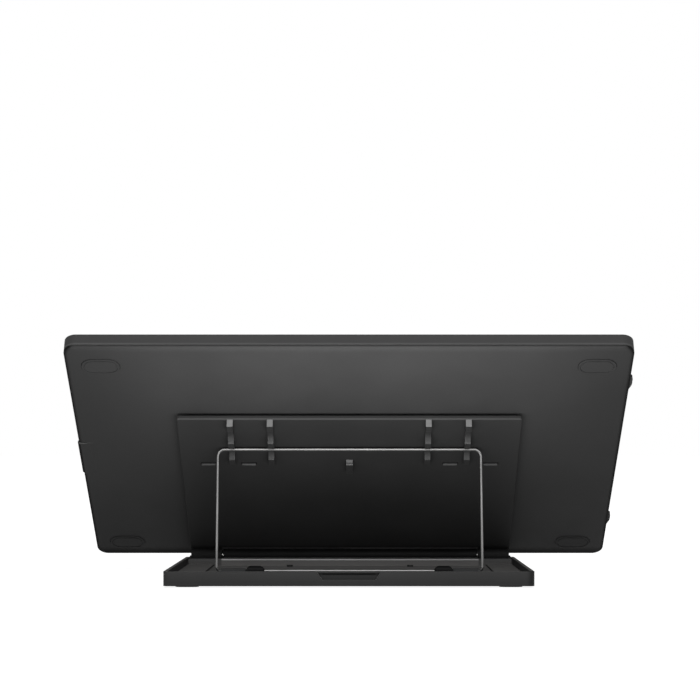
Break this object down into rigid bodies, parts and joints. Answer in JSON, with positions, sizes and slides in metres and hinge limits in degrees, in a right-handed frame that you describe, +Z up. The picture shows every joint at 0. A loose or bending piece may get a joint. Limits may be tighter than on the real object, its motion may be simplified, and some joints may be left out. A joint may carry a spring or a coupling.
{
  "type": "pen display on a folding stand",
  "caption": "Graphics tablet with a screen, hooked to a tilting stand plate that a wire bail props up from a shallow base tray.",
  "frame": {"origin": "middle of the object's footprint box on the desk, at the underside of the base feet", "axes": "+X to the user's right along the display's width, +Y away from the user to the stand's back, +Z up"},
  "size_m": [0.3787, 0.215, 0.166],
  "materials": {
    "shell_plastic": "fine moulded texture",
    "stand_plastic": "fine moulded texture",
    "cover_glass": "etched against glare",
    "panel": "polarising film",
    "diffuser": "milky sheet",
    "circuit_board": "solder mask",
    "steel": "plated",
    "black_steel": "black oxide",
    "black_plastic": "plain, matt",
    "wire_steel": "drawn wire, satin",
    "hook_steel": "satin",
    "key_plastic": "satin",
    "foot_rubber": "matt"
  },
  "bodies": {
    "base": {"base_tray": "stand_plastic", "base_feet": "foot_rubber", "hinge_barrel": "black_plastic", "hinge_pins": "steel", "block_screws": "black_steel", "bail_retainers": "black_plastic", "bar_covers": "stand_plastic", "retainer_screws": "steel"},
    "upper": {"stand_plate": "stand_plastic", "hook_strips": "hook_steel", "bar_clip": "hook_steel", "rear_cover": "shell_plastic", "front_frame": "shell_plastic", "cover_glass": "cover_glass", "lcd_panel": "panel", "backlight_unit": "diffuser", "sensor_board": "circuit_board", "shield_plate": "steel", "main_board": "circuit_board", "port_board": "circuit_board", "port_socket": "steel", "key_bezel": "key_plastic", "key_board": "circuit_board", "power_switch": "key_plastic", "upper_feet": "foot_rubber", "lower_feet": "foot_rubber", "cover_screws": "steel"},
    "bail": {"bail": "wire_steel"},
    "power_button": {"power_button": "key_plastic"},
    "key_1": {"key_1": "key_plastic"},
    "key_2": {"key_2": "key_plastic"},
    "key_3": {"key_3": "key_plastic"},
    "key_4": {"key_4": "key_plastic"}
  },
  "joints": [
    {"name": "plate_tilt", "type": "hinge", "parent": "base", "child": "upper", "pos_m": [0, -0.08651, 0.012], "axis": [1, 0, 0], "range_deg": [0, 54.5]},
    {"name": "bail_swing", "type": "hinge", "parent": "base", "child": "bail", "pos_m": [0, 0.00949, 0.0056], "axis": [-1, 0, 0], "range_deg": [0, 80]},
    {"name": "power_press", "type": "slide", "parent": "upper", "child": "power_button", "axis": [-1, 0, 0], "range_m": [0, 0.0004], "stiffness_N_per_m": 900},
    {"name": "key_1_press", "type": "slide", "parent": "upper", "child": "key_1", "axis": [0, 0.5807, -0.8141], "range_m": [0, 0.0004], "stiffness_N_per_m": 900},
    {"name": "key_2_press", "type": "slide", "parent": "upper", "child": "key_2", "axis": [0, 0.5807, -0.8141], "range_m": [0, 0.0004], "stiffness_N_per_m": 900},
    {"name": "key_3_press", "type": "slide", "parent": "upper", "child": "key_3", "axis": [0, 0.5807, -0.8141], "range_m": [0, 0.0004], "stiffness_N_per_m": 900},
    {"name": "key_4_press", "type": "slide", "parent": "upper", "child": "key_4", "axis": [0, 0.5807, -0.8141], "range_m": [0, 0.0004], "stiffness_N_per_m": 900}
  ]
}
